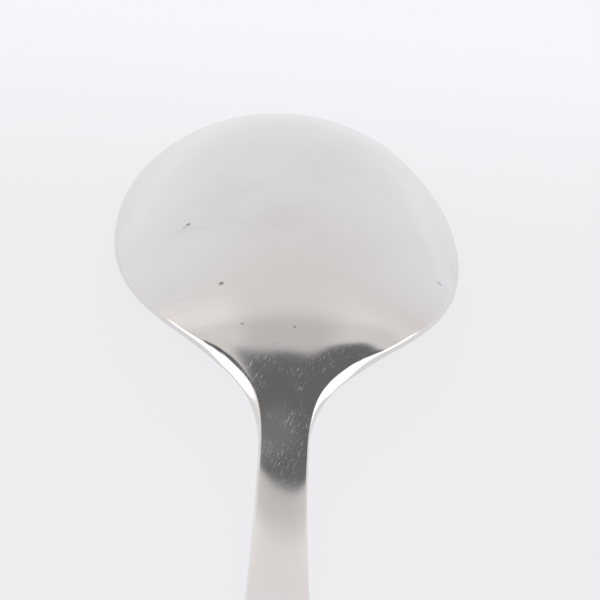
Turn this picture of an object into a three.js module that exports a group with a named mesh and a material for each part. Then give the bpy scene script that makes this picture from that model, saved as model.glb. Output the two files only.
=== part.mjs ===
// A one-piece stainless steel tablespoon, lying with the back of its bowl up, as on a table.
// The tip of the bowl points along +Y, the handle along -Y, and +Z is up. It rests on the rim at
// the tip and on a short flat land under the crest of the handle's arch, both at z = 0.
// A station is a distance along the spoon, from the tip of the bowl to the end of the handle.
// Sizes are in millimetres. The back is the upper skin here, and the front the lower one.
import * as THREE from 'three';
import { ParametricGeometry } from 'three/addons/geometries/ParametricGeometry.js';
import { mergeGeometries, mergeVertices } from 'three/addons/utils/BufferGeometryUtils.js';

const { clamp, degToRad, lerp, smootherstep } = THREE.MathUtils;

// Sizes seen from above
const BOWL_LENGTH = 85.5; // tip to the narrowest place of the neck
const BOWL_WIDTH = 44;
const TIP_TO_WIDEST = 37;
const NECK_WIDTH = 5.5;
const HANDLE_LENGTH = 122.5; // narrowest place of the neck to the end
const HANDLE_WIDTH = 19;
const HANDLE_END_LENGTH = 14; // widest place of the handle to its end

// Sizes seen from the side
const TIP_TO_CROWN = 42.7;
const CROWN_HEIGHT = 15.6; // top of the bowl's back above the table
const RIM_RISE = 1.9; // of the rim above the tip, where its line bends up to the neck
const RIM_END = 4.5; // the rim runs into the back here, ahead of the narrowest place of the neck
const NECK_TO_CREST = 29; // narrowest place of the neck to the start of the crest's land
const CREST_LAND = 8; // flat that the handle rests on
const END_FLAT = 40; // straight stretch at the end of the handle
const HANDLE_TILT = degToRad(17); // of that stretch against the table

// Thicknesses and edges
const BOWL_WALL = 1;
const NECK_THICKNESS = 2.6;
const HANDLE_THICKNESS = 2.3;
const NECK_SWELL_BEFORE = 14; // the wall thickens from here, ahead of the narrowest place
const NECK_SWELL_AFTER = 6; // and is thickest here, behind it
const HANDLE_CROWN = 0.26; // the handle's back is this much higher in its middle
const RIM_RADIUS = 0.2; // of the bowl's back edge
const RIM_UNDERCUT = 0.9; // width over which the bowl's front edge comes up to meet it
const EDGE_RADIUS = 0.24; // of the handle's edges
const BEVEL_WIDTH = 0.66; // of the sloping edge of the heel, at its widest place
const BEVEL_BEFORE = 9.2; // that place is this far ahead of the narrowest place of the neck
const BEVEL_REACH = 9.5; // the slope fades into the plain edge this far before and after it
const HEEL_BEFORE = 35; // the back starts to flatten here, ahead of the narrowest place of the neck
const HEEL_FULL = 7; // and is flattest from here

// Curve factors: each is a share of the span that its curve covers
const TIP_FULLNESS = 0.645;
const SHOULDER_FULLNESS = 0.68;
const SHOULDER_SWEEP = 0.29;
const FLARE_START = 0.34;
const FLARE_END = 0.36;
const END_SQUARENESS = 0.6;
const TIP_REACH = 0.37;
const TIP_RISE = 0.6;
const CROWN_EASE = 0.57;
const CREST_EASE = 0.49;
const RIM_STRAIGHT = 0.62;
const RIM_EASE = 0.14;
const SECTION_SQUARENESS = 0.2; // 0 gives the bowl a parabola across
const HEEL_SQUARENESS = 1; // of the back at the heel, which is flat in its middle
const EDGE_SHARE = 0.44; // an edge rounds off at most this share of the wall from each side
const RIM_SHARE = 0.86; // share of the wall that the bowl's front edge takes
const BEVEL_SHARE = 0.7; // share of the wall that the heel's sloping edge takes
const SKIN_SHARE = 0.6; // the skin inside the edges has at least this share of a row's width

// Steps of the skin along each stretch, and across half of it inside the edge and over the edge
const TIP_STEPS = 14;
const SHOULDER_STEPS = 20;
const HANDLE_STEP = 3.4; // millimetres
const END_STEPS = 9;
const SKIN_COLUMNS = 6;
const EDGE_COLUMNS = 3;
const BISECTIONS = 40;
const RESTING_PASSES = 3;
const SLOPE_STEP = 0.01; // millimetres, as are the next two
const POLE_STANDOFF = 0.1; // slopes at the very tip and end are taken this far inside
const WELD = 0.0001; // corners nearer than this are one

const BACK = 1;
const FRONT = -1;

const NECK = BOWL_LENGTH;
const CREST_START = NECK + NECK_TO_CREST;
const CREST_END = CREST_START + CREST_LAND;
const LENGTH = BOWL_LENGTH + HANDLE_LENGTH;
const HANDLE_WIDEST = LENGTH - HANDLE_END_LENGTH;
const BEND_END = LENGTH - END_FLAT;
const SWELL_START = NECK - NECK_SWELL_BEFORE;
const SWELL_TOP = NECK + NECK_SWELL_AFTER;
const RIM_JOIN = NECK - RIM_END;
const BEVEL_TOP = NECK - BEVEL_BEFORE;

// Curves of heights or half widths over stations.
function vectors(points) {
  return points.map(([station, value]) => new THREE.Vector2(station, value));
}

function cubic(...points) {
  return new THREE.CubicBezierCurve(...vectors(points));
}

function quadratic(...points) {
  return new THREE.QuadraticBezierCurve(...vectors(points));
}

function line(...points) {
  return new THREE.LineCurve(...vectors(points));
}

// The value that a chain of curves has at a station, found by halving the curve that covers it.
function valueAt(chain, station) {
  const curve = chain.find((part) => station <= part.getPoint(1).x) ?? chain.at(-1);
  let low = 0;
  let high = 1;
  for (let i = 0; i < BISECTIONS; i++) {
    const middle = (low + high) / 2;
    if (curve.getPoint(middle).x < station) low = middle;
    else high = middle;
  }
  return curve.getPoint(high).y;
}

function slopeAt(chain, station) {
  const from = Math.max(station - SLOPE_STEP, 0);
  const to = Math.min(station + SLOPE_STEP, LENGTH);
  return (valueAt(chain, to) - valueAt(chain, from)) / (to - from);
}

// The handle of a curve that rises to a top, so that its curvature there equals that of the curve
// that falls away from the top with the given ease.
function matchingEase(ease, rise, fall, room) {
  return Math.min(ease * Math.sqrt(rise / fall), room);
}

// Half widths: round the tip to the widest place, in to the neck, out along the handle, round its end.
function outline() {
  const bowl = BOWL_WIDTH / 2;
  const neck = NECK_WIDTH / 2;
  const handle = HANDLE_WIDTH / 2;
  const shoulder = NECK - TIP_TO_WIDEST;
  const flare = HANDLE_WIDEST - NECK;
  const ease = SHOULDER_FULLNESS * shoulder;
  const tipEase = matchingEase(ease, bowl * (1 - TIP_FULLNESS), bowl - neck, TIP_TO_WIDEST);
  return [
    cubic([0, 0], [0, TIP_FULLNESS * bowl], [TIP_TO_WIDEST - tipEase, bowl], [TIP_TO_WIDEST, bowl]),
    cubic([TIP_TO_WIDEST, bowl], [TIP_TO_WIDEST + ease, bowl],
      [NECK - SHOULDER_SWEEP * shoulder, neck], [NECK, neck]),
    cubic([NECK, neck], [NECK + FLARE_START * flare, neck],
      [HANDLE_WIDEST - FLARE_END * flare, handle], [HANDLE_WIDEST, handle]),
    cubic([HANDLE_WIDEST, handle], [HANDLE_WIDEST + END_SQUARENESS * HANDLE_END_LENGTH, handle],
      [LENGTH, END_SQUARENESS * handle], [LENGTH, 0]),
  ];
}

// Heights of the back along the middle: over the bowl's crown, down to the crest's land, up the handle.
function spine(tipHeight) {
  const crest = HANDLE_THICKNESS;
  const rise = TIP_RISE * (CROWN_HEIGHT - tipHeight);
  const reach = TIP_REACH * TIP_TO_CROWN;
  const span = CREST_START - TIP_TO_CROWN;
  const ease = CROWN_EASE * span;
  const lastRise = CROWN_HEIGHT - tipHeight - rise;
  const tipEase = matchingEase(ease, lastRise, CROWN_HEIGHT - crest, TIP_TO_CROWN - reach);
  const bend = BEND_END - CREST_END;
  const bendTop = crest + Math.tan(HANDLE_TILT) * bend / 2;
  return [
    cubic([0, tipHeight], [reach, tipHeight + rise],
      [TIP_TO_CROWN - tipEase, CROWN_HEIGHT], [TIP_TO_CROWN, CROWN_HEIGHT]),
    cubic([TIP_TO_CROWN, CROWN_HEIGHT], [TIP_TO_CROWN + ease, CROWN_HEIGHT],
      [CREST_START - CREST_EASE * span, crest], [CREST_START, crest]),
    line([CREST_START, crest], [CREST_END, crest]),
    quadratic([CREST_END, crest], [CREST_END + bend / 2, crest], [BEND_END, bendTop]),
    line([BEND_END, bendTop], [LENGTH, bendTop + Math.tan(HANDLE_TILT) * END_FLAT]),
  ];
}

// Heights of the rim: up from the tip along the bowl, then down into the spine ahead of the neck.
function rimLine(spineChain, tipHeight) {
  const height = valueAt(spineChain, RIM_JOIN);
  const ease = RIM_EASE * RIM_JOIN;
  const easeHeight = height - ease * slopeAt(spineChain, RIM_JOIN);
  return [
    cubic([0, tipHeight], [RIM_STRAIGHT * RIM_JOIN, tipHeight + RIM_RISE],
      [RIM_JOIN - ease, easeHeight], [RIM_JOIN, height]),
  ];
}

// Share of the way from spine to rim, for a place across the spoon: 0 in the middle and 1 at the edge.
function sectionFall(across, squareness) {
  return (1 - squareness) * across ** 2 + squareness * across ** 4;
}

function sectionFallSlope(across, squareness) {
  return 2 * (1 - squareness) * across + 4 * squareness * across ** 3;
}

function wallThickness(station) {
  const swell = (NECK_THICKNESS - BOWL_WALL) * smootherstep(station, SWELL_START, SWELL_TOP);
  const thinning = (NECK_THICKNESS - HANDLE_THICKNESS) * smootherstep(station, SWELL_TOP, CREST_START);
  return BOWL_WALL + swell - thinning;
}

// Places across a row from -1 to 1: even over the skin, then closer together over the edges.
function places(halfWidth, widthSlope, edgeWidth) {
  const taken = 2 * edgeWidth * Math.hypot(1, widthSlope) / halfWidth;
  const skin = Math.max(Math.sqrt(Math.max(1 - taken, 0)), SKIN_SHARE);
  const overEdge = (step) => lerp(skin, 1, Math.sin(Math.PI / 2 * step / EDGE_COLUMNS));
  const half = [
    ...Array.from({ length: SKIN_COLUMNS }, (_, i) => skin * (i + 1) / SKIN_COLUMNS),
    ...Array.from({ length: EDGE_COLUMNS }, (_, i) => overEdge(i + 1)),
  ];
  return [...half.map((place) => -place).reverse(), 0, ...half];
}

// Everything that is the same across the spoon at one station.
function rowAt(station, halfWidths, spineChain, rimChain) {
  const edgeChain = station < RIM_JOIN ? rimChain : spineChain;
  const domeAt = (place) => valueAt(spineChain, place) - valueAt(edgeChain, place);
  const inside = clamp(station, POLE_STANDOFF, LENGTH - POLE_STANDOFF);
  const toHandle = smootherstep(station, SWELL_START, SWELL_TOP);
  const toHeel = smootherstep(station, NECK - HEEL_BEFORE, NECK - HEEL_FULL);
  const bevel = smootherstep(station, BEVEL_TOP - BEVEL_REACH, BEVEL_TOP)
    * (1 - smootherstep(station, BEVEL_TOP, BEVEL_TOP + BEVEL_REACH));
  const wall = wallThickness(station);
  const edge = Math.min(EDGE_RADIUS, EDGE_SHARE * wall);
  const backEdge = lerp(RIM_RADIUS, edge, toHandle);
  const bevelWidth = lerp(lerp(RIM_RADIUS, EDGE_RADIUS, toHandle), BEVEL_WIDTH, bevel);
  const frontWidth = lerp(RIM_UNDERCUT, EDGE_RADIUS, toHandle);
  const halfWidth = valueAt(halfWidths, station);
  const widthSlope = slopeAt(halfWidths, station);
  return {
    station,
    halfWidth,
    widthSlope,
    places: places(Math.max(halfWidth, WELD), widthSlope, Math.max(bevelWidth, frontWidth)),
    spine: valueAt(spineChain, station),
    spineSlope: slopeAt(spineChain, station),
    dome: domeAt(station),
    domeSlope: slopeAt(spineChain, station) - slopeAt(edgeChain, station),
    domePerWidth: domeAt(inside) / valueAt(halfWidths, inside),
    widening: slopeAt(halfWidths, inside),
    wall,
    backSquareness: lerp(SECTION_SQUARENESS, HEEL_SQUARENESS, toHeel),
    crown: HANDLE_CROWN * toHandle,
    frontWidth,
    frontDepth: lerp(lerp(RIM_SHARE * wall, edge, toHandle), (1 - BEVEL_SHARE) / 2 * wall, bevel),
    bevel,
    bevelWidth,
    bevelDepth: lerp(backEdge, BEVEL_SHARE * wall, bevel),
  };
}

// Distance from a place to the outline, from the slope of (width squared - x squared) there.
function distanceInside(row, x) {
  const reach = 2 * Math.hypot(x, row.halfWidth * row.widthSlope);
  return reach > 0 ? (row.halfWidth ** 2 - x ** 2) / reach : 0;
}

// How far an edge has come down: 1 at the outline and 0 from its width inside it. It is a quarter
// circle where flatness is 0 and a plane where flatness is 1.
function edgeFall(inside, width, flatness) {
  const left = Math.max(1 - inside / width, 0);
  return lerp(1 - Math.sqrt(1 - left ** 2), left, flatness);
}

// A point of the back or front skin. The wall is measured square to the bowl's skin, so its upright
// height grows with the skin's slope; at the heel the back is fuller than the front. The very tip and
// end have no width, so there a row is one point, on the edge.
function skinPoint(row, place, side) {
  const across = row.halfWidth < WELD ? 1 : place;
  const x = across * row.halfWidth;
  const fall = sectionFall(across, SECTION_SQUARENESS);
  const slopeAcross = row.domePerWidth * sectionFallSlope(across, SECTION_SQUARENESS);
  const slopeAlong = row.spineSlope - row.domeSlope * fall + slopeAcross * across * row.widening;
  const upright = row.wall * Math.hypot(1, slopeAcross, slopeAlong);
  const inside = distanceInside(row, x);
  const y = LENGTH / 2 - row.station;
  if (side === FRONT) {
    const front = row.spine - row.dome * fall - upright;
    return new THREE.Vector3(x, y, front + row.frontDepth * edgeFall(inside, row.frontWidth, 0));
  }
  const back = row.spine - row.dome * sectionFall(across, row.backSquareness) + row.crown * (1 - fall);
  return new THREE.Vector3(x, y, back - row.bevelDepth * edgeFall(inside, row.bevelWidth, row.bevel));
}

// Stations of the rows, closer together round the tip and the end, where the outline turns.
function rowStations(halfWidths) {
  const alongCurve = (curve, steps) => curve.getPoints(steps).map((point) => point.x);
  const breaks = [NECK, CREST_START, CREST_END, BEND_END, HANDLE_WIDEST].sort((a, b) => a - b);
  const handle = breaks.slice(1).flatMap((to, i) => {
    const steps = Math.max(1, Math.round((to - breaks[i]) / HANDLE_STEP));
    return Array.from({ length: steps }, (_, k) => lerp(breaks[i], to, (k + 1) / steps));
  });
  return [
    ...alongCurve(halfWidths[0], TIP_STEPS),
    ...alongCurve(halfWidths[1], SHOULDER_STEPS).slice(1),
    ...handle,
    ...alongCurve(halfWidths[3], END_STEPS).slice(1),
  ];
}

function skinRows(tipHeight) {
  const halfWidths = outline();
  const spineChain = spine(tipHeight);
  const rimChain = rimLine(spineChain, tipHeight);
  return rowStations(halfWidths).map((station) => rowAt(station, halfWidths, spineChain, rimChain));
}

// The tip's height that puts the lowest point under the bowl on the table. The tip moves by the gap
// that is left, which changes the curves a little, so this is done more than once.
function restingTipHeight() {
  let tipHeight = BOWL_WALL;
  for (let i = 0; i < RESTING_PASSES; i++) {
    const rows = skinRows(tipHeight).filter((row) => row.station < TIP_TO_WIDEST);
    const heights = rows.flatMap((row) => row.places.map((place) => skinPoint(row, place, FRONT).z));
    tipHeight -= Math.min(...heights);
  }
  return tipHeight;
}

// One closed skin of patches: shared corners become one, and the slivers at the two ends go.
function weld(patches) {
  const merged = mergeGeometries(patches);
  merged.deleteAttribute('normal');
  merged.deleteAttribute('uv');
  const skin = mergeVertices(merged, WELD);
  const corners = skin.getIndex().array;
  const kept = [];
  for (let i = 0; i < corners.length; i += 3) {
    const [a, b, c] = corners.slice(i, i + 3);
    if (a !== b && b !== c && c !== a) kept.push(a, b, c);
  }
  skin.setIndex(kept);
  skin.computeVertexNormals();
  return skin;
}

function spoonGeometry() {
  const rows = skinRows(restingTipHeight());
  const stacks = rows.length - 1;
  const slices = 2 * (SKIN_COLUMNS + EDGE_COLUMNS);
  const rowOf = (v) => rows[Math.round(v * stacks)];
  const pointOf = (row, u, side) => skinPoint(row, row.places[Math.round(u * slices)], side);
  const back = (u, v, target) => target.copy(pointOf(rowOf(v), 1 - u, BACK));
  const front = (u, v, target) => target.copy(pointOf(rowOf(v), u, FRONT));
  const edge = (place, first, second) => (u, v, target) =>
    target.copy(skinPoint(rowOf(v), place, u < 1 ? first : second));
  return weld([
    new ParametricGeometry(back, slices, stacks),
    new ParametricGeometry(front, slices, stacks),
    new ParametricGeometry(edge(-1, BACK, FRONT), 1, stacks),
    new ParametricGeometry(edge(1, FRONT, BACK), 1, stacks),
  ]);
}

const polishedSteel = new THREE.MeshStandardMaterial({ color: 0xd6d4d2, roughness: 0.2, metalness: 1 });

const spoon = new THREE.Mesh(spoonGeometry(), polishedSteel);
spoon.name = 'spoon';

const tablespoon = new THREE.Group();
tablespoon.add(spoon);

export default tablespoon;
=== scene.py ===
"""A worn stainless steel tablespoon, lying with the back of its bowl up on a pale table.

The spoon's tip points along +Y and its handle along -Y, with +Z up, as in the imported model.
A station is a distance along the spoon, from the tip of the bowl to the end of the handle.
"""

import bpy
import numpy as np
from mathutils import Matrix


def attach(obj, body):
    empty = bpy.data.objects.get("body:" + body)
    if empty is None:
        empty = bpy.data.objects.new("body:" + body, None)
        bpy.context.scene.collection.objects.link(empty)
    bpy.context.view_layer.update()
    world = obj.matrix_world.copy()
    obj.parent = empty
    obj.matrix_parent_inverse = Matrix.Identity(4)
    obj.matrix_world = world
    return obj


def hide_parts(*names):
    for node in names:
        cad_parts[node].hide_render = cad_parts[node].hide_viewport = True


bl_info = {
    "name": "Tablespoon",
    "version": (1, 0, 0),
    "blender": (4, 5, 0),
    "location": "3D View > Sidebar > Tablespoon",
    "description": "Builds a worn steel tablespoon and the table it lies on",
    "category": "Object",
}

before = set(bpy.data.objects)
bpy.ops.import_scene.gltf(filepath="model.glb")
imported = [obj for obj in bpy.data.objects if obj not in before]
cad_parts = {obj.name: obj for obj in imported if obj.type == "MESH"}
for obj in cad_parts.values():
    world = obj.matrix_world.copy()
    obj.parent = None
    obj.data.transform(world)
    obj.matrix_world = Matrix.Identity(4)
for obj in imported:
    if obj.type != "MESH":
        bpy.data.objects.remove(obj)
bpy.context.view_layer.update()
PICTURE_SIDE = 600  # pixels
TABLE_HALF = 3.0  # metres from the middle of the table to its sides
MM = 0.001

# Rows of the skin along each stretch, and columns across half of it, inside the edge and over it
TIP_ROWS = 92
SHOULDER_ROWS = 132
HANDLE_ROWS = 110
END_ROWS = 44
SKIN_COLUMNS = 40
EDGE_COLUMNS = 12
HALVINGS = 44
RESTING_PASSES = 3
SLOPE_STEP = 0.01 * MM
POLE_STANDOFF = 0.1 * MM  # slopes at the very tip and end are taken this far inside

# Stretches along the spoon, as places on Y, over which its finish and the table's light change
BOWL_TO_NECK = (56 * MM, 42 * MM)
HANDLE_TO_NECK = (-4 * MM, 8 * MM)
NECK_TO_HANDLE = (16 * MM, 6 * MM)
BRIGHT_HANDLE_END = (-60 * MM, -15 * MM)
SCRATCHED_FROM = (35 * MM, 30 * MM)
# Painted light: the stretch over which the table's glow turns brighter beyond the spoon
FAR_PAINTED_LIGHT = (70 * MM, 140 * MM)

# The wear: ranges of the noise over which its marks come up, and their strengths
SCRATCH_PATCHES = (0.48, 0.66)
SMEARED_HAZE = (0.48, 0.62)
DULL_HAZE = (0.4, 0.75)
FINE_SCRATCHES = 0.6
UNSCRATCHED_HANDLE = 0.8
SMEAR_DULLING = 0.35
HAZE_DULLING = 0.6
PIT_ROUGHNESS = 0.3
MARK_EDGE = 0.06  # rise of the noise from the edge of a mark to its full strength
SPOT_CORE = 0.3  # share of a spot's radius that has its full strength
CLOUD_PLACE = (-1.5 * MM, 20 * MM, 0)  # of the dull cloud on the neck
CLOUD_RADIUS = 5 * MM

# Stained pits on the bowl's back: places across and along it and radii, in millimetres, and strengths
PITS = (
    (-12.7, 54.4, 0.40, 0.8),
    (-13.1, 54.0, 0.35, 0.3),
    (-8.2, 40.6, 0.42, 0.9),
    (-5.5, 33.8, 0.28, 0.6),
    (0.5, 33.7, 0.24, 0.7),
    (18.5, 52.2, 0.45, 0.45),
)

# The mirrored room, by the parts of a unit direction. Its edge is where the backdrop starts.
ROOM_LEAN = np.radians(20)  # of the edge, away from the camera
ROOM_BLUR = 0.018  # half the width of the edge
ROOM_SKEW = 0.14  # the edge reaches further over the table at the right
ROOM_SHIFT = -0.005
RIGHT_EASE = (0.15, 0.6, 0, -0.028)  # but less so far to the right
LEFT_RETURN = (-0.7, -0.95, 0, 0.08)  # and further again far to the left

# The backdrop's brightness at that edge and what its sides add, as shares of the brightness set for it
BACKDROP_BASE = 0.7
BACKDROP_SIDES = 0.17
SIDES_MIDDLE = 0.03
SIDES_FROM = (0.05, 0.45)  # distances from the middle
SIDES_LEAN = 0.15
SIDES_END = (0.52, 0.1)  # distances beyond the edge
# Further steps of it: where each starts and ends beyond the edge, and what it adds; the last is behind
# the camera
BACKDROP_STEPS = (
    (0.1, 0.24, 0.2),
    (0.35, 0.8, 0.12),
    (-0.3, -0.7, 0.65),
)
WARM_END = (0.85, 0.2)  # the warm light fades between these distances beyond the edge
WARM_START = (-0.05, 0.05)

# The soft boxes at the sides
BOX_SIDES = (0.8, 0.88)
BOX_TOP = (0.22, 0.14)
BOX_FAR_END = (0.42, 0.27)
BOX_TURN = 0.1


def size(name, description, millimetres):
    """A length that a user may change, given in millimetres and kept in metres."""
    return bpy.props.FloatProperty(
        name=name, description=description, default=millimetres * MM, min=0.0, precision=5, unit="LENGTH"
    )


def share(name, description, default):
    """A share of the span that a curve covers."""
    return bpy.props.FloatProperty(
        name=name, description=description, default=default, min=0.0, max=1.0, subtype="FACTOR"
    )


def number(name, description, default):
    """A plain number with no upper limit."""
    return bpy.props.FloatProperty(name=name, description=description, default=default, min=0.0)


def angle(name, description, degrees):
    """An angle, given in degrees and kept in radians."""
    return bpy.props.FloatProperty(
        name=name, description=description, default=float(np.radians(degrees)), subtype="ANGLE"
    )


def colour(name, description, default):
    """A linear colour."""
    return bpy.props.FloatVectorProperty(
        name=name, description=description, default=default, size=3, min=0.0, max=1.0, subtype="COLOR"
    )


class SpoonSizes(bpy.types.PropertyGroup):
    """Sizes of the spoon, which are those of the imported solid."""

    bowl_length: size("Bowl length", "Tip to the narrowest place of the neck", 85.5)
    bowl_width: size("Bowl width", "Widest place of the bowl", 44)
    tip_to_widest: size("Tip to widest", "Tip to the widest place of the bowl", 37)
    neck_width: size("Neck width", "Narrowest place of the neck", 5.5)
    handle_length: size("Handle length", "Narrowest place of the neck to the end", 122.5)
    handle_width: size("Handle width", "Widest place of the handle", 19)
    handle_end_length: size("Handle end", "Widest place of the handle to its end", 14)
    tip_to_crown: size("Tip to crown", "Tip to the top of the bowl's back", 42.7)
    crown_height: size("Crown height", "Top of the bowl's back above the table", 15.6)
    rim_rise: size("Rim rise", "Rise of the rim above the tip, where it bends to the neck", 1.9)
    rim_end: size("Rim end", "From where the rim runs into the back to the narrowest place", 4.5)
    neck_to_crest: size("Neck to crest", "Narrowest place of the neck to the crest's land", 29)
    crest_land: size("Crest land", "Flat that the handle rests on", 8)
    end_flat: size("End flat", "Straight stretch at the end of the handle", 40)
    handle_tilt: angle("Handle tilt", "Tilt of the straight stretch against the table", 17)
    bowl_wall: size("Bowl wall", "Thickness of the bowl", 1)
    neck_thickness: size("Neck thickness", "Thickness behind the neck", 2.6)
    handle_thickness: size("Handle thickness", "Thickness of the handle", 2.3)
    swell_before: size("Swell start", "Start of the thickening, ahead of the narrowest place", 14)
    swell_after: size("Swell top", "Thickest place, behind the narrowest place", 6)
    handle_crown: size("Handle crown", "Rise of the handle's back in its middle", 0.26)
    rim_radius: size("Rim radius", "Rounding of the bowl's back edge", 0.2)
    rim_undercut: size("Rim undercut", "Width over which the bowl's front edge comes up to it", 0.9)
    edge_radius: size("Edge radius", "Rounding of the handle's edges", 0.24)
    bevel_width: size("Bevel width", "Sloping edge of the heel, at its widest place", 0.66)
    bevel_before: size("Bevel place", "That place, ahead of the narrowest place", 9.2)
    bevel_reach: size("Bevel reach", "Length of the slope before and after that place", 9.5)
    heel_before: size("Heel start", "Start of the flat heel, ahead of the narrowest place", 35)
    heel_full: size("Heel full", "Flattest place of the heel, ahead of the narrowest place", 7)
    tip_fullness: share("Tip fullness", "Roundness of the tip", 0.645)
    shoulder_fullness: share("Shoulder fullness", "Roundness behind the widest place", 0.68)
    shoulder_sweep: share("Shoulder sweep", "Length of the sweep into the neck", 0.29)
    flare_start: share("Flare start", "Length of the slim part of the handle", 0.34)
    flare_end: share("Flare end", "Length of the wide part of the handle", 0.36)
    end_squareness: share("End squareness", "Squareness of the handle's end", 0.6)
    tip_reach: share("Tip reach", "Length of the steep rise behind the tip", 0.37)
    tip_rise: share("Tip rise", "Height of the steep rise behind the tip", 0.6)
    crown_ease: share("Crown ease", "Length of the level run behind the crown", 0.57)
    crest_ease: share("Crest ease", "Length of the level run ahead of the crest", 0.49)
    rim_straight: share("Rim straight", "Length of the rim's straight run", 0.62)
    rim_ease: share("Rim ease", "Length of the rim's bend into the neck", 0.14)
    section_squareness: share("Section squareness", "0 gives the bowl a parabola across", 0.2)
    heel_squareness: share("Heel squareness", "1 makes the heel's back flat in its middle", 1.0)
    edge_share: share("Edge share", "Most of the wall that an edge rounds off from each side", 0.44)
    rim_share: share("Rim share", "Share of the wall that the bowl's front edge takes", 0.86)
    bevel_share: share("Bevel share", "Share of the wall that the heel's sloping edge takes", 0.7)
    skin_share: share("Skin share", "Least share of a row's width that lies inside the edges", 0.6)


class SteelFinish(bpy.types.PropertyGroup):
    """Finish of the worn steel."""

    steel: colour("Steel", "Colour of clean steel", (0.765, 0.75, 0.742))
    # Lighter steel on the handle behind the neck, fading towards its end
    bright: colour("Bright steel", "Colour of the rubbed handle behind the neck", (0.835, 0.822, 0.818))
    dull: colour("Dull steel", "Colour of steel under smears and haze", (0.70, 0.682, 0.67))
    stain: colour("Stain", "Colour of the stain in the pits", (0.25, 0.23, 0.19))
    bowl_roughness: share("Bowl roughness", "Roughness of the bowl's satin back", 0.2)
    neck_roughness: share("Neck roughness", "Roughness of the rubbed neck", 0.075)
    haze: share("Haze", "Roughness that the haze adds and takes away", 0.1)
    scratch: share("Scratches", "Roughness that a scratch adds", 0.4)
    cloud: share("Cloud", "Roughness that the dull cloud on the neck adds", 0.1)
    waviness: size("Waviness", "Height of the waves left by pressing", 0.06)


class TableStage(bpy.types.PropertyGroup):
    """The table, the light and the camera."""

    table: colour("Table", "Colour of the light that the table throws back", (0.05, 0.05, 0.053))
    glow: colour("Glow", "Colour of the light table's own light", (0.795, 0.795, 0.813))
    # Painted light: the table glows brighter beyond the spoon, in place of a lamp there
    far_painted_glow: colour("Far glow", "Colour of that light beyond the spoon", (0.865, 0.865, 0.90))
    tent: number("Tent light", "Strength of the even light on the table", 1.04)
    backdrop: number("Backdrop", "Brightness of the backdrop that the steel mirrors", 0.92)
    cool: colour("Cool light", "Colour of the light from low on the backdrop", (0.965, 0.97, 1.0))
    warm: colour("Warm light", "Colour of the light from above", (1.0, 0.955, 0.935))
    room: number("Room", "Brightness of the room above and behind the camera", 0.164)
    side_boxes: number("Side boxes", "Brightness of the soft boxes at both sides", 1.3)
    elevation: angle("Elevation", "Camera's height above the horizon", 32.641)
    azimuth: angle("Azimuth", "Camera's turn around the spoon", -3.006)
    roll: angle("Roll", "Camera's turn about its own axis", 6.385)
    distance: size("Distance", "Camera to the place it looks at", 280)
    target: bpy.props.FloatVectorProperty(
        name="Target",
        description="Place the camera looks at",
        default=(1.603 * MM, 49.64 * MM, 6 * MM),
        size=3,
        subtype="TRANSLATION",
        unit="LENGTH",
    )
    focal_pixels: number("Focal length", "Focal length in pixels of the picture", 2301.4)


class Curve:
    """A height or half width over stations: cubic Bezier arcs joined end to end."""

    def __init__(self, *arcs):
        self.arcs = np.array(arcs, float)

    def point(self, index, t):
        """Station and value on the arcs of that index, at the parameter t."""
        weights = np.stack([(1 - t) ** 3, 3 * t * (1 - t) ** 2, 3 * t * t * (1 - t), t**3], -1)
        return np.moveaxis((weights[..., None] * self.arcs[index]).sum(-2), -1, 0)

    def value(self, station):
        """The value at each station, found by halving the parameter of the arc that covers it."""
        station = np.asarray(station, float)
        index = np.minimum(np.searchsorted(self.arcs[:, 3, 0], station), len(self.arcs) - 1)
        low = np.zeros_like(station)
        high = np.ones_like(station)
        for _ in range(HALVINGS):
            middle = (low + high) / 2
            before = self.point(index, middle)[0] < station
            low = np.where(before, middle, low)
            high = np.where(before, high, middle)
        return self.point(index, high)[1]

    def slope(self, station):
        """The slope at each station, from two values close to it."""
        start = np.maximum(station - SLOPE_STEP, self.arcs[0, 0, 0])
        end = np.minimum(station + SLOPE_STEP, self.arcs[-1, 3, 0])
        return (self.value(end) - self.value(start)) / (end - start)

    def stations(self, arc, rows):
        """Stations at even parameters along one arc."""
        t = np.linspace(0, 1, rows)
        return self.point(np.full(rows, arc), t)[0]


def straight(start, end):
    """A straight run as a cubic arc: its handles are a third of the way in."""
    start, end = np.array(start), np.array(end)
    return [start, start + (end - start) / 3, end - (end - start) / 3, end]


def bend(start, corner, end):
    """A parabola that touches both legs of a corner, as a cubic arc."""
    start, corner, end = np.array(start), np.array(corner), np.array(end)
    return [start, start + (corner - start) * 2 / 3, end + (corner - end) * 2 / 3, end]


def matching_ease(ease, rise, fall, room):
    """Handle of a rise to a top whose curvature equals that of the fall behind it with that ease."""
    return min(ease * (rise / fall) ** 0.5, room)


def lerp(start, end, share_of_way):
    """start at 0 and end at 1."""
    return start + (end - start) * share_of_way


def smootherstep(value, start, end):
    """0 before start, 1 after end, and 6u^5 - 15u^4 + 10u^3 between them."""
    u = np.clip((value - start) / (end - start), 0, 1)
    return u**3 * (u * (6 * u - 15) + 10)


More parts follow.
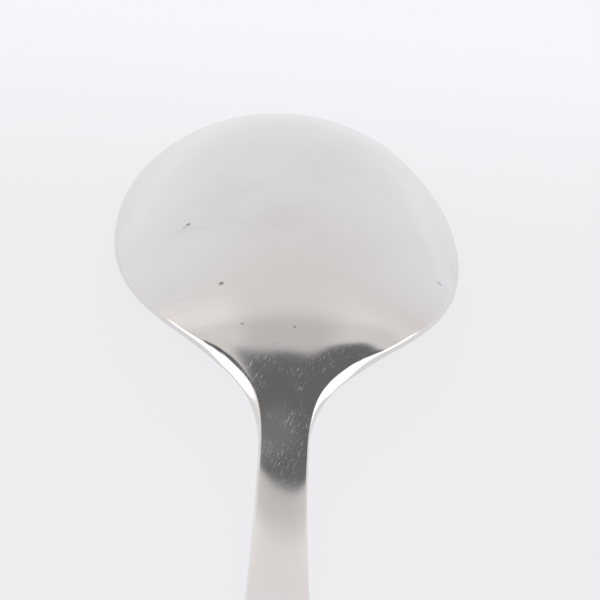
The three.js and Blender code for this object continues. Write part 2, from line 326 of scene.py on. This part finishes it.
def outline(s):
    """Half widths: round the tip, in to the neck, out along the handle and round its end."""
    bowl, neck, handle = s.bowl_width / 2, s.neck_width / 2, s.handle_width / 2
    length = s.bowl_length + s.handle_length
    widest, narrowest, flared = s.tip_to_widest, s.bowl_length, length - s.handle_end_length
    shoulder, flare = narrowest - widest, flared - narrowest
    ease = s.shoulder_fullness * shoulder
    tip_ease = matching_ease(ease, bowl * (1 - s.tip_fullness), bowl - neck, widest)
    sweep = narrowest - s.shoulder_sweep * shoulder
    slim, wide = narrowest + s.flare_start * flare, flared - s.flare_end * flare
    corner = flared + s.end_squareness * s.handle_end_length
    return Curve(
        [(0, 0), (0, s.tip_fullness * bowl), (widest - tip_ease, bowl), (widest, bowl)],
        [(widest, bowl), (widest + ease, bowl), (sweep, neck), (narrowest, neck)],
        [(narrowest, neck), (slim, neck), (wide, handle), (flared, handle)],
        [(flared, handle), (corner, handle), (length, s.end_squareness * handle), (length, 0)],
    )


def spine(s, tip):
    """Heights of the back along the middle: over the crown, down to the crest's land, up the handle."""
    crest, crown, top = s.handle_thickness, s.tip_to_crown, s.crown_height
    length = s.bowl_length + s.handle_length
    land = s.bowl_length + s.neck_to_crest
    land_end, flat_start = land + s.crest_land, length - s.end_flat
    rise, reach, span = s.tip_rise * (top - tip), s.tip_reach * crown, land - crown
    ease = s.crown_ease * span
    tip_ease = matching_ease(ease, top - tip - rise, top - crest, crown - reach)
    climb = np.tan(s.handle_tilt)
    corner = (land_end + flat_start) / 2
    flat_height = crest + climb * (flat_start - corner)
    return Curve(
        [(0, tip), (reach, tip + rise), (crown - tip_ease, top), (crown, top)],
        [(crown, top), (crown + ease, top), (land - s.crest_ease * span, crest), (land, crest)],
        straight((land, crest), (land_end, crest)),
        bend((land_end, crest), (corner, crest), (flat_start, flat_height)),
        straight((flat_start, flat_height), (length, flat_height + climb * s.end_flat)),
    )


def rim(s, back, tip):
    """Heights of the rim: up from the tip along the bowl, then down into the spine ahead of the neck."""
    join = s.bowl_length - s.rim_end
    height = float(back.value(join))
    ease = s.rim_ease * join
    run = (s.rim_straight * join, tip + s.rim_rise)
    return Curve([(0, tip), run, (join - ease, height - ease * float(back.slope(join))), (join, height)])


def section_fall(across, squareness):
    """Share of the way from spine to rim: (1 - squareness) v^2 + squareness v^4."""
    return (1 - squareness) * across**2 + squareness * across**4


def section_slope(across, squareness):
    """Slope of section_fall over v."""
    return 2 * (1 - squareness) * across + 4 * squareness * across**3


def wall_thickness(s, station):
    """Thickness along the spoon: thin in the bowl, swelling to the neck, thinner again to the handle."""
    start, top = s.bowl_length - s.swell_before, s.bowl_length + s.swell_after
    crest = s.bowl_length + s.neck_to_crest
    swell = (s.neck_thickness - s.bowl_wall) * smootherstep(station, start, top)
    return s.bowl_wall + swell - (s.neck_thickness - s.handle_thickness) * smootherstep(station, top, crest)


def places(s, half_width, width_slope, edge_width):
    """Places across each row from -1 to 1: even over the skin, then closer together over the edges.

    The skin ends one edge width inside the outline, at sqrt(1 - 2 * width * hypot(1, slope) / half width).
    """
    taken = 2 * edge_width * np.hypot(1, width_slope) / half_width
    skin = np.maximum(np.sqrt(np.clip(1 - taken, 0, 1)), s.skin_share)
    over_skin = skin * np.linspace(0, 1, SKIN_COLUMNS + 1)
    over_edge = skin + (1 - skin) * np.sin(np.pi / 2 * np.linspace(0, 1, EDGE_COLUMNS + 1))
    half = np.concatenate([over_skin, over_edge[:, 1:]], 1)
    return np.concatenate([-half[:, :0:-1], half], 1)


def distance_inside(x, half_width, width_slope):
    """Distance to the outline, from the slope of (width squared - x squared) there."""
    reach = 2 * np.hypot(x, half_width * width_slope)
    return np.divide(half_width**2 - x**2, reach, out=np.zeros_like(x), where=reach > 0)


def edge_fall(inside, width, flatness):
    """How far an edge has come down: 1 at the outline and 0 from its width inside it.

    It is the quarter circle 1 - sqrt(1 - u^2) where flatness is 0 and the plane u where flatness is 1.
    """
    u = np.clip(1 - inside / width, 0, 1)
    return lerp(1 - np.sqrt(1 - u**2), u, flatness)


def skins(s, widths, stations, tip):
    """Back and front skins on a grid of stations and places across, each as (rows, columns, 3).

    The back is spine - dome * fall, where dome is the height from rim to spine. The front lies one wall
    below it, measured square to the bowl's skin. Both edges come down towards each other, and the heel's
    back has a sloping edge. The very tip and end have no width, so there a row is one point, on the edge.
    """
    length = s.bowl_length + s.handle_length
    back = spine(s, tip)
    rim_line = rim(s, back, tip)
    row = stations[:, None]
    inside = np.clip(row, POLE_STANDOFF, length - POLE_STANDOFF)
    half_width = widths.value(row)
    half_width[[0, -1]] = 0
    bevel_top = s.bowl_length - s.bevel_before
    bevel = smootherstep(row, bevel_top - s.bevel_reach, bevel_top)
    bevel = bevel * (1 - smootherstep(row, bevel_top, bevel_top + s.bevel_reach))
    to_handle = smootherstep(row, s.bowl_length - s.swell_before, s.bowl_length + s.swell_after)
    bevel_width = lerp(lerp(s.rim_radius, s.edge_radius, to_handle), s.bevel_width, bevel)
    front_width = lerp(s.rim_undercut, s.edge_radius, to_handle)
    across = places(s, widths.value(inside), widths.slope(inside), np.maximum(bevel_width, front_width))
    across[[0, -1]] = 1
    joined = s.bowl_length - s.rim_end
    dome = np.where(row < joined, back.value(row) - rim_line.value(row), 0)
    dome_slope = np.where(row < joined, back.slope(row) - rim_line.slope(row), 0)
    dome_inside = np.where(inside < joined, back.value(inside) - rim_line.value(inside), 0)
    to_heel = smootherstep(row, s.bowl_length - s.heel_before, s.bowl_length - s.heel_full)
    fall = section_fall(across, s.section_squareness)
    squareness = lerp(s.section_squareness, s.heel_squareness, to_heel)
    slope_across = dome_inside / widths.value(inside) * section_slope(across, s.section_squareness)
    slope_along = back.slope(row) - dome_slope * fall + slope_across * across * widths.slope(inside)
    wall = wall_thickness(s, row)
    upright = wall * np.sqrt(1 + slope_across**2 + slope_along**2)
    x = across * half_width
    to_outline = distance_inside(x, half_width, widths.slope(row))
    edge = np.minimum(s.edge_radius, s.edge_share * wall)
    bevel_depth = lerp(lerp(s.rim_radius, edge, to_handle), s.bevel_share * wall, bevel)
    front_depth = lerp(lerp(s.rim_share * wall, edge, to_handle), (1 - s.bevel_share) / 2 * wall, bevel)
    y = length / 2 - row + np.zeros_like(x)
    crown = s.handle_crown * to_handle * (1 - fall)
    back_z = back.value(row) - dome * section_fall(across, squareness) + crown
    back_z = back_z - bevel_depth * edge_fall(to_outline, bevel_width, bevel)
    front_z = back.value(row) - dome * fall - upright + front_depth * edge_fall(to_outline, front_width, 0)
    return np.stack([x, y, back_z], -1), np.stack([x, y, front_z], -1)


def skin_stations(s, widths):
    """Stations of the rows: even along the handle, closer together round the tip and the end."""
    handle = np.linspace(s.bowl_length, s.bowl_length + s.handle_length - s.handle_end_length, HANDLE_ROWS)
    return np.concatenate(
        [
            widths.stations(0, TIP_ROWS),
            widths.stations(1, SHOULDER_ROWS)[1:],
            handle[1:],
            widths.stations(3, END_ROWS)[1:],
        ]
    )


def spoon_surface(s):
    """Vertices and faces of the closed spoon: rings round the back and front skins, closed at both ends.

    The tip's height puts the lowest point under the bowl on the table. The tip moves by the gap that is
    left, which changes the curves a little, so this is done more than once.
    """
    widths = outline(s)
    stations = skin_stations(s, widths)
    tip = s.bowl_wall
    for _ in range(RESTING_PASSES):
        under_bowl = skins(s, widths, stations, tip)[1][stations < s.tip_to_widest]
        tip -= under_bowl[..., 2].min()
    back, front = skins(s, widths, stations, tip)
    rings = np.concatenate([back, front[:, ::-1]], 1)
    rows, around = rings.shape[:2]
    half = around // 2
    ids = np.arange(rows * around).reshape(rows, around)
    for end in (0, -1):
        ids[end, :half] = ids[end, 0]
        ids[end, half:] = ids[end, half]
    following = np.roll(ids, -1, 1)
    quads = np.stack([ids[1:], following[1:], following[:-1], ids[:-1]], -1).reshape(-1, 4)
    used, quads = np.unique(quads, return_inverse=True)
    quads = quads.reshape(-1, 4)
    pinched_end = quads[:, 2] == quads[:, 3]
    pinched_start = quads[:, 0] == quads[:, 1]
    whole = ~(pinched_end | pinched_start)
    triangles = quads[pinched_end][:, :3].tolist() + quads[pinched_start][:, 1:].tolist()
    return rings.reshape(-1, 3)[used], quads[whole].tolist() + triangles


class Signal:
    """A socket of a node tree. Arithmetic on it adds the Math nodes."""

    def __init__(self, graph, socket):
        self.graph = graph
        self.socket = socket

    def math(self, operation, first, second):
        return self.graph.node("ShaderNodeMath", {"operation": operation}, {0: first, 1: second})["Value"]

    def __add__(self, other):
        return self.math("ADD", self, other)

    def __radd__(self, other):
        return self.math("ADD", other, self)

    def __sub__(self, other):
        return self.math("SUBTRACT", self, other)

    def __rsub__(self, other):
        return self.math("SUBTRACT", other, self)

    def __mul__(self, other):
        return self.math("MULTIPLY", self, other)

    def __rmul__(self, other):
        return self.math("MULTIPLY", other, self)

    def __abs__(self):
        return self.math("ABSOLUTE", self, 0.0)


class Graph:
    """A node tree that is written as expressions."""

    def __init__(self, tree):
        self.tree = tree
        tree.nodes.clear()

    def node(self, kind, settings, inputs):
        """Adds a node with its settings, its sockets' values or links, and returns its outputs by name."""
        made = self.tree.nodes.new(kind)
        for name, value in settings.items():
            setattr(made, name, value)
        for key, value in inputs.items():
            if isinstance(value, Signal):
                self.tree.links.new(value.socket, made.inputs[key])
            else:
                made.inputs[key].default_value = value
        return {output.name: Signal(self, output) for output in made.outputs if output.enabled}

    def vector(self, operation, first, second, output="Vector"):
        """Vector Math on two vectors."""
        return self.node("ShaderNodeVectorMath", {"operation": operation}, {0: first, 1: second})[output]

    def ramp(self, value, start, end, low=0.0, high=1.0):
        """low before start, high after end, and a smooth step between them."""
        settings = {"interpolation_type": "SMOOTHSTEP"}
        limits = {"From Min": start, "From Max": end, "To Min": low, "To Max": high}
        return self.node("ShaderNodeMapRange", settings, {"Value": value, **limits})["Result"]

    def noise(self, vector, scale, detail, roughness=0.5):
        """Noise from 0 to 1 about 0.5."""
        inputs = {"Vector": vector, "Scale": scale, "Detail": detail, "Roughness": roughness}
        return self.node("ShaderNodeTexNoise", {}, inputs)["Fac"]

    def marks(self, vector, turn, width, length, least):
        """Long thin marks at an angle to Y: stretched noise, where it rises above the least value."""
        frame_of_mark = {"Vector": vector, "Rotation": (0, 0, turn), "Scale": (width, length, length)}
        stretched = self.node("ShaderNodeMapping", {"vector_type": "TEXTURE"}, frame_of_mark)["Vector"]
        return self.ramp(self.noise(stretched, 1.0, 0.0), least, least + MARK_EDGE)

    def spot(self, vector, centre, radius):
        """1 near a place and 0 from one radius away from it, seen from above."""
        flat = self.vector("MULTIPLY", vector, (1, 1, 0))
        return self.ramp(self.vector("DISTANCE", flat, centre, "Value"), radius, SPOT_CORE * radius)

    def blend(self, factor, first, second):
        """The first colour at 0 and the second at 1."""
        inputs = {"Factor": factor, 6: first, 7: second}
        return self.node("ShaderNodeMix", {"data_type": "RGBA"}, inputs)["Result"]


def worn_steel(finish):
    """Stainless steel: a satin bowl, a rubbed neck, fine scratches, haze and a few stained pits."""
    material = bpy.data.materials.new("worn_steel")
    material.use_nodes = True
    g = Graph(material.node_tree)
    place = g.node("ShaderNodeTexCoord", {}, {})["Object"]
    along = g.node("ShaderNodeSeparateXYZ", {}, {"Vector": place})["Y"]
    neck = g.ramp(along, *BOWL_TO_NECK) * g.ramp(along, *HANDLE_TO_NECK)
    handle = g.ramp(along, *NECK_TO_HANDLE)
    haze = g.noise(place, scale=70.0, detail=5.0, roughness=0.6)
    patches = g.ramp(g.noise(place, scale=210.0, detail=1.0), *SCRATCH_PATCHES)
    smears = g.marks(place, turn=np.radians(78), width=0.6 * MM, length=5 * MM, least=0.64)
    smears = smears * g.ramp(haze, *SMEARED_HAZE)
    long_marks = g.marks(place, turn=np.radians(-17), width=0.08 * MM, length=1.1 * MM, least=0.7)
    fine_marks = g.marks(place, turn=np.radians(-40), width=0.05 * MM, length=0.6 * MM, least=0.72)
    scratched = patches * g.ramp(along, *SCRATCHED_FROM) * (1 - UNSCRATCHED_HANDLE * handle)
    scratches = (long_marks + FINE_SCRATCHES * fine_marks) * scratched
    spots = (strength * g.spot(place, (x * MM, y * MM, 0), radius * MM) for x, y, radius, strength in PITS)
    pits = sum(spots)
    cloud = g.spot(place, CLOUD_PLACE, CLOUD_RADIUS)
    dulling = SMEAR_DULLING * smears + g.ramp(haze, *DULL_HAZE, 0.0, HAZE_DULLING) * (1 - neck)
    steel = g.blend(dulling, (*finish.steel, 1), (*finish.dull, 1))
    # The handle behind the neck gets lighter steel, fading towards its end
    steel = g.blend(handle * g.ramp(along, *BRIGHT_HANDLE_END), steel, (*finish.bright, 1))
    roughness = finish.bowl_roughness + (finish.neck_roughness - finish.bowl_roughness) * neck
    roughness = roughness + finish.haze * (haze - 0.5) + finish.scratch * scratches
    roughness = roughness + PIT_ROUGHNESS * pits + finish.cloud * cloud
    height = g.noise(place, scale=110.0, detail=1.0)
    waves = g.node("ShaderNodeBump", {}, {"Distance": finish.waviness, "Height": height})
    inputs = {
        "Base Color": g.blend(pits, steel, (*finish.stain, 1)),
        "Metallic": 1.0,
        "Roughness": roughness,
        "Normal": waves["Normal"],
    }
    surface = g.node("ShaderNodeBsdfPrincipled", {}, inputs)
    g.node("ShaderNodeOutputMaterial", {}, {"Surface": surface["BSDF"]})
    return material


def table_top(stage):
    """A plain pale light table, with painted light that makes it a little brighter beyond the spoon."""
    material = bpy.data.materials.new("table_top")
    material.use_nodes = True
    g = Graph(material.node_tree)
    place = g.node("ShaderNodeTexCoord", {}, {})["Object"]
    along = g.node("ShaderNodeSeparateXYZ", {}, {"Vector": place})["Y"]
    inputs = {
        "Base Color": (*stage.table, 1),
        "Roughness": 0.9,
        "Specular IOR Level": 0.1,
        # Painted light: the table's glow is brighter beyond the spoon
        "Emission Color": g.blend(g.ramp(along, *FAR_PAINTED_LIGHT), (*stage.glow, 1), (*stage.far_painted_glow, 1)),
        "Emission Strength": 1.0,
    }
    surface = g.node("ShaderNodeBsdfPrincipled", {}, inputs)
    g.node("ShaderNodeOutputMaterial", {}, {"Surface": surface["BSDF"]})
    return material


class TABLESPOON_OT_spoon(bpy.types.Operator):
    """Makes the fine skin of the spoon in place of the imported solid"""

    bl_idname = "tablespoon.spoon"
    bl_label = "Make the Spoon"

    def execute(self, context):
        vertices, faces = spoon_surface(context.scene.spoon_sizes)
        mesh = bpy.data.meshes.new("spoon_skin")
        mesh.from_pydata(vertices, [], faces)
        if mesh.validate():
            raise RuntimeError("the spoon's skin has faulty faces")
        mesh.shade_smooth()
        mesh.materials.append(worn_steel(context.scene.steel_finish))
        spoon = bpy.data.objects.new("spoon_skin", mesh)
        context.scene.collection.objects.link(spoon)
        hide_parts("spoon")
        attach(spoon, "root")
        return {"FINISHED"}


def place_camera(stage):
    """A camera on a line from the target, level with the spoon's length and then rolled."""
    e, a, r = stage.elevation, stage.azimuth, stage.roll
    back = np.array([np.sin(a) * np.cos(e), -np.cos(a) * np.cos(e), np.sin(e)])
    right = np.array([np.cos(a), np.sin(a), 0])
    up = np.cross(back, right)
    axes = [np.cos(r) * right + np.sin(r) * up, np.cos(r) * up - np.sin(r) * right, back]
    position = np.array(stage.target) + back * stage.distance
    data = bpy.data.cameras.new("picture_camera")
    data.lens = stage.focal_pixels / PICTURE_SIDE * data.sensor_width
    data.clip_start = 1 * MM
    camera = bpy.data.objects.new("picture_camera", data)
    camera.matrix_world = Matrix(np.column_stack([*axes, position]).tolist()).to_4x4()
    bpy.context.scene.collection.objects.link(camera)
    bpy.context.scene.camera = camera


def light_the_room(stage):
    """Even tent light on matt things; the steel mirrors a bright backdrop and a dark room above it.

    beyond says how far a direction lies past the room's edge: over 0 on the backdrop, ahead of the camera
    and below, and under 0 in the room. The soft boxes stand low at both sides.
    """
    world = bpy.data.worlds.new("studio")
    bpy.context.scene.world = world
    world.use_nodes = True
    g = Graph(world.node_tree)
    toward = g.node("ShaderNodeTexCoord", {}, {})["Generated"]
    direction = g.node("ShaderNodeSeparateXYZ", {}, {"Vector": toward})
    across, ahead, up = (direction[axis] for axis in "XYZ")
    beyond = ahead * np.cos(ROOM_LEAN) - up * np.sin(ROOM_LEAN) - across * ROOM_SKEW - ROOM_SHIFT
    beyond = beyond - g.ramp(across, *RIGHT_EASE) - g.ramp(across, *LEFT_RETURN)
    side_box = g.ramp(abs(across), *BOX_SIDES) * g.ramp(up, *BOX_TOP)
    side_box = side_box * g.ramp(ahead - across * BOX_TURN, *BOX_FAR_END)
    sides = g.ramp(abs(across - SIDES_MIDDLE), *SIDES_FROM)
    sides = sides * g.ramp(beyond + across * SIDES_LEAN, *SIDES_END)
    backdrop = (BACKDROP_BASE + BACKDROP_SIDES * sides) * stage.backdrop
    mirrored = g.ramp(beyond, -ROOM_BLUR, ROOM_BLUR, stage.room, backdrop)
    for first, last, gain in BACKDROP_STEPS:
        mirrored = mirrored + g.ramp(beyond, first, last, 0, gain * stage.backdrop)
    mirrored = mirrored + stage.side_boxes * side_box
    glossy = g.node("ShaderNodeLightPath", {}, {})["Is Glossy Ray"]
    strength = stage.tent + glossy * (mirrored - stage.tent)
    from_above = glossy * g.ramp(beyond, *WARM_END) * g.ramp(beyond, *WARM_START)
    tint = g.blend(from_above, (*stage.cool, 1), (*stage.warm, 1))
    light = g.node("ShaderNodeBackground", {}, {"Color": tint, "Strength": strength})
    g.node("ShaderNodeOutputWorld", {}, {"Surface": light["Background"]})


class TABLESPOON_OT_stage(bpy.types.Operator):
    """Makes the table, the light and the camera"""

    bl_idname = "tablespoon.stage"
    bl_label = "Set the Stage"

    def execute(self, context):
        stage = context.scene.table_stage
        corners = TABLE_HALF * np.array([(-1, -1, 0), (1, -1, 0), (1, 1, 0), (-1, 1, 0)])
        mesh = bpy.data.meshes.new("table_top")
        mesh.from_pydata(corners, [], [(0, 1, 2, 3)])
        mesh.materials.append(table_top(stage))
        table = bpy.data.objects.new("table_top", mesh)
        context.scene.collection.objects.link(table)
        light_the_room(stage)
        place_camera(stage)
        context.scene.view_settings.view_transform = "Standard"
        return {"FINISHED"}


class TABLESPOON_PT_panel(bpy.types.Panel):
    """Lists the pieces, their sizes and the stage"""

    bl_idname = "TABLESPOON_PT_panel"
    bl_label = "Tablespoon"
    bl_space_type = "VIEW_3D"
    bl_region_type = "UI"
    bl_category = "Tablespoon"

    def draw(self, context):
        for operator, group in STEPS:
            box = self.layout.box()
            box.operator(operator.bl_idname)
            for name in group:
                settings = getattr(context.scene, name)
                for key in settings.bl_rna.properties.keys()[1:]:
                    box.prop(settings, key)


STEPS = (
    (TABLESPOON_OT_spoon, ("spoon_sizes", "steel_finish")),
    (TABLESPOON_OT_stage, ("table_stage",)),
)
GROUPS = {"spoon_sizes": SpoonSizes, "steel_finish": SteelFinish, "table_stage": TableStage}
CLASSES = (*GROUPS.values(), TABLESPOON_OT_spoon, TABLESPOON_OT_stage, TABLESPOON_PT_panel)


def register():
    for cls in CLASSES:
        bpy.utils.register_class(cls)
    for name, group in GROUPS.items():
        setattr(bpy.types.Scene, name, bpy.props.PointerProperty(type=group))


def unregister():
    for name in GROUPS:
        delattr(bpy.types.Scene, name)
    for cls in reversed(CLASSES):
        bpy.utils.unregister_class(cls)


def main():
    register()
    bpy.ops.tablespoon.spoon()
    bpy.ops.tablespoon.stage()


if __name__ == "__main__":
    main()
